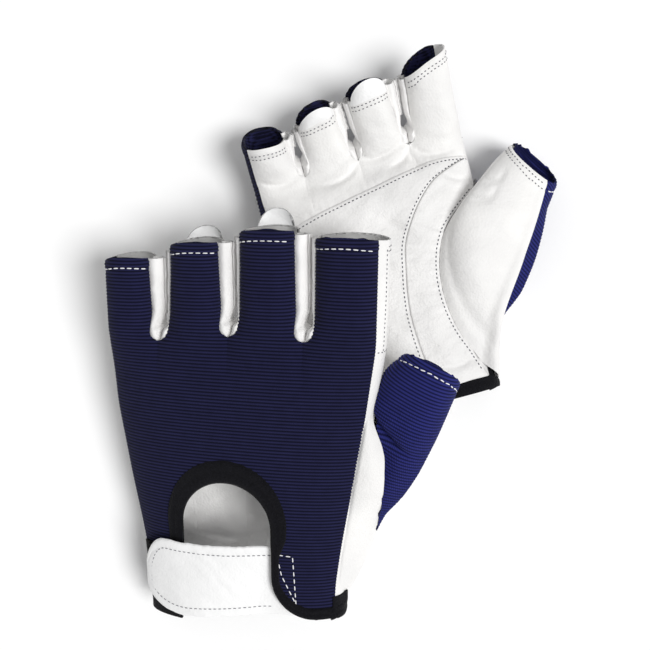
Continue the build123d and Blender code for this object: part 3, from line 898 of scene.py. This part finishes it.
def palm_overlays(side):
    """The patch and the crescent. Gives the three lines that they are sewn along."""
    low = OVERLAY_FOOT
    margin = {"left": 3.0, "right": 3.6}[side]
    top_y = PATCH_EDGE[side][-1][1]
    far_x = float(sections(side, np.array(top_y, float))[0]) + 3.0
    upper = [p for p in PATCH_EDGE[side] if p[0] > far_x + 4] + [(far_x, top_y)]
    base, inner = ([tuple(p) for p in through(line, 12)] for line in (CRESCENT, THUMB_LINE))
    base[-1], inner[-1] = (base[-1][0], low), (36.0, low)
    outer = [(float(sections(side, np.array(y))[0]) + margin, y) for y in np.linspace(top_y, low, 8)]
    foot = [(x, low) for x in np.linspace(base[-1][0], outer[-1][0], 6)]
    shares = packed(90), packed(80)
    overlay(side, "palm_patch_leather", (base, outer, upper, foot), shares, OVERLAY, "palm_patch")
    top = [base[0], ((base[0][0] + inner[0][0]) / 2 + 0.4, (base[0][1] + inner[0][1]) / 2), inner[0]]
    foot = [(x, low) for x in np.linspace(base[-1][0], inner[-1][0], 5)]
    shares = packed(90), packed(26, 0.03)
    overlay(side, "thumb_band_leather", (base, inner, top, foot), shares, BAND, "thumb_crescent")
    return upper, base, inner


# ---- Thumb ----
THUMB_ROWS, THUMB_COLS = 150, 48


def thumb_rim(side, first):
    """Half of the thumb's rim, from an angle at its crotch end to the outer seam."""
    a, b = (np.array(p) for p in THUMB[side]["rim"])
    angle = np.linspace(first, THUMB_SEAM_ANGLE, THUMB_COLS)
    c, s = signed_power(np.cos(angle), 0.9), signed_power(np.sin(angle), 0.9)
    out = np.array([a[1] - b[1], b[0] - a[0], 0.0]) * THUMB[side]["tilt"] / np.linalg.norm(b - a)
    return (a + b) / 2 + c[:, None] * (b - a) / 2 + s[:, None] * (out + THUMB_HALF_THICK * UP)


def thumb_edges(side):
    """Outer seam of the thumb: all of it for the palm side, its upper part for the back."""
    t = THUMB[side]
    edge = [*t["edge"], thumb_rim(side, np.pi)[-1]]
    outer = through([*t["wrist"], *edge], 400)
    start = int(np.argmin(np.linalg.norm(outer - np.array(edge[0]), axis=1)))
    return through(outer, THUMB_ROWS), through([edge[0], *outer[start + 2 :]], THUMB_ROWS)


def thumb_patch(side, base, first_angle, bulge, outer):
    """Patch from a base line to half of the rim, with its shares across and along."""
    rim = THUMB[side]["rim"]
    along = np.array(rim[0]) - THUMB[side]["crotch"]
    inner = through([base[0], base[0] + along * 0.5 + np.array(THUMB[side][bulge]), rim[0]], THUMB_ROWS)
    grid = coons(base, thumb_rim(side, first_angle), inner, outer)
    return grid, np.linspace(0, 1, THUMB_COLS)[None, :], np.linspace(0, 1, THUMB_ROWS)[:, None]


def to_rim(grid):
    return np.linalg.norm(grid - grid[-1:], axis=-1)


def thumb_back(side):
    """Ribbed cloth of the thumb, with a fold at its root. Gives the line of its hem's stitches."""
    t = THUMB[side]
    base = through([t["crotch"], *t["root"], t["edge"][0]], THUMB_COLS)
    grid, s, u = thumb_patch(side, base, np.pi, "bulge", thumb_edges(side)[1])
    grid[..., 2] += 3.0 * np.sin(np.pi * s) * np.sin(np.pi * u) * (1 - 0.3 * u)
    # the back swells past its seam, so that the cloth is the outline there
    fade = {"left": 1 - 0.8 * u, "right": np.clip(1 - (u / 0.8) ** 2.5, 0, 1)}[side]
    swell = t["swell"] * bell(s - 0.86, 0.13) * ease((1 - s) / 0.12) * fade
    swell = swell * np.sin(np.pi * np.clip(u * 2.0, 0, 0.5))
    grid, n = outward(grid + swell[..., None] * np.array([0.85, -0.5, 0.0]), UP)
    # the ribs run along the rim
    rim = np.array(t["rim"])
    axis = unit(np.cross(UP, rim[1] - rim[0]))
    axis = axis * np.sign(axis @ (rim.mean(axis=0) - (np.array(t["crotch"]) + base[-1]) / 2))
    phase = grid @ axis
    phase = phase - phase[-1].mean()
    x, y, distance = grid[..., 0], grid[..., 1], to_rim(grid)
    sunk = 0.28 * bell(distance - THUMB_HEM, 0.7) + 0.5 * bell(distance, 0.8)
    sunk = sunk + groove(x, y, BACK_FOLD, 2.6, 1.5) - 0.7 * groove(x, y, BACK_FOLD_BULGE, 1.0, 3.0)
    grid = grid + n * (RIB_HEIGHT * np.cos(2 * np.pi * phase / RIB) - sunk)[..., None]
    n = normals_of(grid, n)
    uv = np.stack([grid[..., 0], phase], -1)
    sheet(side, "thumb_cloth", [(grid, n)], CLOTH, "thumb_navy", "thumb", "thumb_back", uv=uv)
    return stitch_row(grid, n, to_rim(grid), THUMB_HEM, np.arange(2, THUMB_COLS - 2))


def thumb_palm(side):
    """Leather of the thumb's palm side, down to the wrist."""
    t = THUMB[side]
    line = through(THUMB_LINE, THUMB_COLS - 8)
    base = np.column_stack([line, height(side, line[:, 0], line[:, 1], -1.0) - OVERLAY * 0.4])
    base[0] = np.array(t["crotch"]) + np.array([-0.6, -1.0, -3.0])
    tail = through([base[-1], (39.5, 4.5, -9.5), t["wrist"][0]], 10)[1:]
    base = through(np.concatenate([base, tail])[::3], THUMB_COLS)
    grid, s, u = thumb_patch(side, base, -np.pi, "palm_bulge", thumb_edges(side)[0])
    grid[..., 2] -= 4.5 * np.sin(np.pi * s) ** 1.2 * np.sin(np.pi * u) ** 0.8
    grid[..., 2] += ripple(grid[..., 0], grid[..., 1], 8, 17.0, 0.3) * np.sin(np.pi * s) ** 0.5
    for crease in t["creases"]:
        grid[..., 2] += groove(grid[..., 0], grid[..., 1], crease, 0.8, 1.2)
    grid, n = outward(grid, DOWN)
    sunk = 0.25 * bell(to_rim(grid) - 4.0, 0.6) + 0.5 * bell(to_rim(grid), 0.8)
    grid = grid - n * sunk[..., None]
    n = normals_of(grid, n)
    sheet(side, "thumb_leather", [(grid, n)], CLOTH, "leather", "thumb", "thumb_front")
    cols = np.arange(2, THUMB_COLS - 2)
    rows = [stitch_row(grid, n, to_rim(grid), back, cols) for back in PALM_HEM]
    dashes(side, "thumb_palm_stitches", rows, "thumb_palm", "thumb")


def thumb_side(side):
    """The palm leather wraps up between the back's seam and the root of the thumb."""
    t = THUMB[side]
    y = np.linspace(1.0, t["crotch"][1] + 1.0, 120)
    inner_x = table(BACK_EDGE[side], 1, y) - 2.6
    inner_z = (height(side, inner_x, y) - 1.1)[:, None]
    outline = through([*t["wrist"], t["edge"][0], *t["root"][::-1], t["crotch"]], 200)
    outer_x, outer_z = (np.interp(y, outline[:, 1], outline[:, axis])[:, None] for axis in (0, 2))
    w = np.linspace(0, 1, 22)[None, :]
    from_seam = (outer_x - inner_x[:, None]) * w
    xs = inner_x[:, None] + from_seam
    tuck = 0.9 * (1 - ease((from_seam - 2.5) / 1.6))
    zs = inner_z + (outer_z - inner_z) * w**1.3 + 1.1 * np.sin(np.pi * w) - tuck
    zs = zs + ripple(xs, y[:, None], 31, 12.0, 0.22) * np.sin(np.pi * w)
    sheet(side, "thumb_side_leather", [(points(xs, y[:, None], zs), UP)], CLOTH, "leather", "hand")


# ---- Tape, strap and pads ----
# section of a folded tape: place across, from its hidden edge over its fold at 0; height over the skin
TAPE_PLACE = np.array([-1.0, -0.55, -0.2, 0.0, 0.08, 0.25, 0.42, 0.5, 0.58, 0.75, 0.9, 0.97, 1.0])
TAPE_LIFT = np.array([-2.2, -2.2, -1.6, -0.2, 0.75, 0.95, 0.92, 0.72, 0.92, 0.95, 0.85, 0.5, -0.15])
# the same round the palm side of the wrist edge, by station
PALM_TAPE_Y = np.array([3.0, 1.5, 0.0, -0.7, -0.5, 1.0, 2.2, 2.6, 3.2, 4.4, 4.9, 5.1])
PALM_TAPE_LIFT = np.array([-2.0, -2.0, -1.7, -0.5, 0.7, 0.95, 0.85, 0.65, 0.85, 0.9, 0.5, -0.1])


def tape_strip(side, name, path, inward, width, upper, *nodes):
    """Folded tape over an edge: path is its fold, inward the direction onto the cloth."""
    reach = np.where(TAPE_PLACE < 0, -TAPE_PLACE * 0.6, TAPE_PLACE) * width - 0.5 * bell(TAPE_PLACE, 0.12)
    place = path[:, None, :] + inward[:, None, :] * reach[None, :, None]
    x, y = place[..., 0], place[..., 1]
    z = height(side, x, y) + TAPE_LIFT[None] + ripple(x, y, 41, 6.0, 0.08)
    piece = np.concatenate([place, z[..., None] * upper], -1), upper * UP
    sheet(side, name, [piece], TAPE_THICK, "tape", "hand", *nodes)


def beside(path):
    """Unit directions to the left of each point of a path."""
    step = unit(np.gradient(path, axis=0))
    return np.column_stack([-step[:, 1], step[:, 0]])


def vent_tape(side, left, right, edge_x):
    """Tape round the vent and along the thumb-side leg. Its width changes on the way."""
    leg = np.column_stack([np.linspace(right[-1][0] + 1, edge_x - 0.6, 14), np.zeros(14)])
    arch = np.concatenate([left[::-1], right[1:], leg])
    keys = lengths(arch)
    arch = along_line(np.linspace(0, keys[-1], int(keys[-1] / 0.9) + 1), keys, arch)
    little = np.interp(arch[:, 1], [0, 20, 45, 56], [4.8, 5.2, 6.8, 8.9])
    thumb = np.interp(arch[:, 1], [0, 6, 14, 26, 33, 45, 56], [4.6, 4.0, 3.1, 3.1, 5.8, 6.8, 8.9])
    size = np.where(arch[:, 0] > VENT["middle"], thumb, little)
    tape_strip(side, "vent_tape", arch, beside(arch) * (size / TAPE)[:, None], TAPE, 1.0, "wrist_binding")


def tapes(side):
    left, right = vent_edge(-1), vent_edge(1)
    x0, x1, _ = (float(v) for v in sections(side, np.array(0.0)))
    vent_tape(side, left, right, x1)
    leg = np.column_stack([np.linspace(x0 + 0.6, left[-1][0], 24), np.full(24, -1.3)])
    tape_strip(side, "wrist_tape_little", leg, np.tile([0.0, 1.0], (24, 1)), TAPE * 0.9, 1.0)
    corner = {
        "left": [(-3.6, -0.7), (-0.6, 0.3), (0.7, 4.0), (0.9, 9.0)],
        "right": [(-5.0, -0.7), (-0.6, 0.4), (0.5, 3.6), (0.7, 8.0)],
    }[side]
    corner = through([(x1 + x, y) for x, y in corner], 26)
    tape_strip(side, "wrist_tape_corner", corner, beside(corner), 4.2, 1.0 if side == "left" else -1.0)
    angle = np.linspace(np.pi - 0.25, 2 * np.pi + 0.35, 90)
    c, s = (signed_power(v, 2 / POWER)[:, None] for v in (np.cos(angle), np.sin(angle)))
    left_x, right_x, thick = sections(side, PALM_TAPE_Y)
    xs = (left_x + right_x) / 2 + c * ((right_x - left_x) / 2 + PALM_TAPE_LIFT)
    zs = s * (thick + PALM_TAPE_LIFT)
    sheet(side, "wrist_tape_palm", [(points(xs, PALM_TAPE_Y, zs), DOWN)], TAPE_THICK, "tape", "hand")


def pad(side, kind, body, corner, low, high):
    """Square of loop or hook tape under the strap's tip, between two heights over the skin."""
    x, y = np.meshgrid(np.linspace(corner[0], -23.5, 26), np.linspace(corner[1], 25.5, 30))
    z = height(side, x, y) + high + ripple(x, y, 51, 1.1, 0.06)
    sheet(side, f"{kind}_tape", [(points(x, y, z), UP)], high - low, kind, body, f"{kind}_pad", rigid=True)


def strap_height(side, x):
    """Middle of the strap over the wrist: on the pads at its tip, under the cloth at its root."""
    smooth = sum(np.interp(x + d, *STRAP_LIFT) for d in (-3, -1.5, 0, 1.5, 3)) / 5
    return height(side, x, x * 0 + 12.0) + np.where(x < -38, np.interp(x, *STRAP_LIFT), smooth)


def strap_edge(x, inset=0.0):
    """Low and high edge of the strap at x, or lines inset from them: the tip is rounded."""
    cuts = []
    for reach, rise in STRAP_ROUND:
        d = np.clip((STRAP["tip"] + reach - x) / (reach - inset), 0, 1)
        cuts.append(inset + (rise - inset) * (1 - np.sqrt(np.clip(1 - d**2.1, 0, 1))))
    climb = np.clip((x + 20) / 30, 0, 1) * 2.0
    dip = np.clip((x + 34) / 30, 0, 1) * 0.8
    return STRAP["low"] + cuts[0] + climb, STRAP["high"] - cuts[1] - dip


def strap_objects(side):
    """Leather of the strap and its root, and the stitches round them, in from the edge."""
    tip, root, fold, wall, inset = (STRAP[key] for key in ("tip", "root", "fold", "wall", "thread"))
    reach = STRAP_ROUND[0][0]
    curve = tip + reach * (1 - np.cos(np.linspace(0, np.pi / 2, 36)))
    edge = np.concatenate([curve, np.linspace(tip + reach, fold, 60)[1:]])
    v = np.concatenate([[0, 0.006, 0.02], np.linspace(0.04, 0.96, 34), [0.98, 0.994, 1]])
    crown = np.concatenate([[0.0, 0.55, 0.85], np.ones(34), [0.85, 0.55, 0.0]])
    for name, xs in (("strap", edge), ("strap_root", np.linspace(fold, root, 30))):
        low, high = (line[:, None] for line in strap_edge(xs))
        y = low + (high - low) * v
        x = np.broadcast_to(xs[:, None], y.shape).copy()
        half = (wall / 2) * crown * np.clip((xs - tip) / 0.7, 0, 1)[:, None] ** 0.5
        sunk = 0.22 * np.exp(-((np.minimum(v, 1 - v) * (high - low) - inset) ** 2) / 0.5)
        relief = ripple(x, y, 62, 9.0, 0.1) - sunk
        y = y + ripple(x * 3, y * 0, 61, 9.0, 0.14) * (np.abs(v - 0.5) > 0.44)
        piece = points(x, y, strap_height(side, x) + half + relief), UP
        thick = np.clip(2 * half + relief, 0.12, None)
        sheet(side, f"{name}_leather", [piece], thick, "strap", "strap", name)
    curve = tip + inset + (reach - inset) * (1 - np.cos(np.linspace(0.1, np.pi / 2, 24)))
    xs = np.concatenate([curve, np.linspace(tip + reach, 14.0, 50)[1:]])
    low, high = strap_edge(xs, inset)
    loop = np.concatenate([np.column_stack([xs, low])[::-1], np.column_stack([xs, high])])
    line = flat_line(np.column_stack([loop, strap_height(side, loop[:, 0]) + wall / 2 - 0.12]), UP)
    dashes(side, "strap_stitches", [line], "strap", "strap")


# ---- Stitches ----
def hem_stitches(side, rays):
    for ray in rays:
        cols = np.arange(1, len(ray.c) - 1)
        row = stitch_row(ray.grid, ray.n, ray.gap, HEM, cols[ray.upper[cols] > 0])
        dashes(side, f"{ray.finger}_hem_stitches", [row], "hem", ray.finger)


def palm_stitches(side, rays, seams):
    """Two rows of small stitches at each palm rim, and the seams of the palm."""
    for ray in rays:
        cols = np.arange(2, len(ray.c) - 2)
        rows = [stitch_row(ray.grid, ray.n, ray.gap, back, cols) for back in PALM_HEM]
        dashes(side, f"{ray.finger}_palm_stitches", rows, "palm_hem", ray.finger)
    lines = []
    for line, shift, lift in zip(seams, ((0.3, -1.6), (-1.4, -0.2), (-1.5, 0.3)), (OVERLAY, OVERLAY, BAND)):
        pts = through(line, np.linspace(0.02, 0.97, 120)) + np.array(shift)
        x, y = pts[pts[:, 1] > 6].T
        z = height(side, x, y, -1.0) - lift + palm_relief(side, x, y)
        lines.append(flat_line(bend_hand(side, points(x, y, z)), DOWN))
    dashes(side, "palm_seams", lines, "palm_seam", "hand")


def side_stitches(side, ray):
    """Small stitches down the white thumb side of the index stall, and a short seam across it."""
    col = int(np.argmin(np.abs(ray.c - 0.985) + (ray.upper < 0)))
    column = np.arange(ray.rows + 2, ray.grid.shape[0] - 3), col
    row = int(np.argmin(np.abs(ray.y[:, col] - HAND_END[side] - 1.6)))
    cross = row, np.nonzero((ray.upper > 0) | (ray.c > 0.97))[0]
    lines = [(ray.grid[places], ray.n[places]) for places in (column, cross)]
    dashes(side, "index_side_stitches", lines, "side", "index")


def leg_stitches(side):
    """Stitched box on the thumb-side leg over the strap's root."""
    corners, t = np.array(BOX_CORNERS), np.linspace(0, 1, 14)[:-1, None]
    x, y = np.concatenate([a * (1 - t) + b * t for a, b in zip(corners, corners[1:])]).T
    line = flat_line(points(x, y, height(side, x, y) + 0.15), UP)
    dashes(side, "leg_stitches", [line], "leg", "hand")


def pull_tabs(side):
    """Rounded tabs at the palm rims of the middle and ring stalls."""
    across, t = np.linspace(-1, 1, 30), np.linspace(0, 1, 20)[:, None]
    for finger, reach in TAB_REACH.items():
        low, high = ray_limits(side, FINGERS.index(finger), np.array(sum(RIMS[side][finger]) / 2))
        c = across * TAB_HALF / (float(high - low) / 2)
        reach = reach * np.sqrt(np.clip(1 - np.abs(across) ** 2.3, 0, 1)) + 0.4
        y = rim_line(side, finger, c) - 1.6 + t * reach
        bulge = 0.9 * np.sin(np.pi * t) * (1 - across**2)
        z = -STALL_THICK[1] * oval(c * 0.95) - 0.6 - bulge
        x = float(low + high) / 2 + across * TAB_HALF
        piece = bend(side, finger, points(x, y, z)), DOWN
        sheet(side, f"{finger}_tab_leather", [piece], 1.0, "strap", finger, f"{finger}_pull_tab")


# ---- Building both gloves ----
for side in SIDES:
    backs = back_objects(side)
    palms = palm_objects(side)
    side_strips(side)
    seams = palm_overlays(side)
    thumb_hem = thumb_back(side)
    thumb_palm(side)
    thumb_side(side)
    tapes(side)
    pad(side, "loop", "hand", (-40.8, -4.7), 1.0, 2.0)
    pad(side, "hook", "strap", (-38.4, 4.5), 2.3, 3.3)
    strap_objects(side)
    hem_stitches(side, backs)
    palm_stitches(side, palms, seams)
    leg_stitches(side)
    side_stitches(side, palms[3])
    dashes(side, "thumb_hem_stitches", [thumb_hem], "hem", "thumb")
    pull_tabs(side)


# ---- Stage, light and camera ----
def stage_and_light():
    bpy.ops.mesh.primitive_plane_add(size=6.0, location=(0, 0, 0))
    floor = bpy.context.object
    floor.name = "floor"
    floor.data.materials.append(plain("white_floor", "ffffff", 0.9))
    world = bpy.data.worlds.new("studio")
    bpy.context.scene.world = world
    world.use_nodes = True
    background = world.node_tree.nodes["Background"]
    background.inputs["Color"].default_value = (1, 1, 1, 1)
    background.inputs["Strength"].default_value = 0.43
    bpy.context.scene.view_settings.view_transform = "Standard"
    light = bpy.data.lights.new("key", "SUN")
    light.energy = 2.28
    light.angle = np.radians(26)
    lamp = bpy.data.objects.new("key", light)
    lamp.location = (0.56, -0.20, 1.0)
    lamp.rotation_euler = (-Vector(lamp.location)).to_track_quat("-Z", "Y").to_euler()
    bpy.context.scene.collection.objects.link(lamp)


def camera():
    data = bpy.data.cameras.new("camera")
    data.lens = 54.0
    data.sensor_width = 36.0
    data.clip_start = 0.01
    obj = bpy.data.objects.new("camera", data)
    obj.location = (-0.00417, 0.00526, 0.42)
    bpy.context.scene.collection.objects.link(obj)
    bpy.context.scene.camera = obj


stage_and_light()
camera()
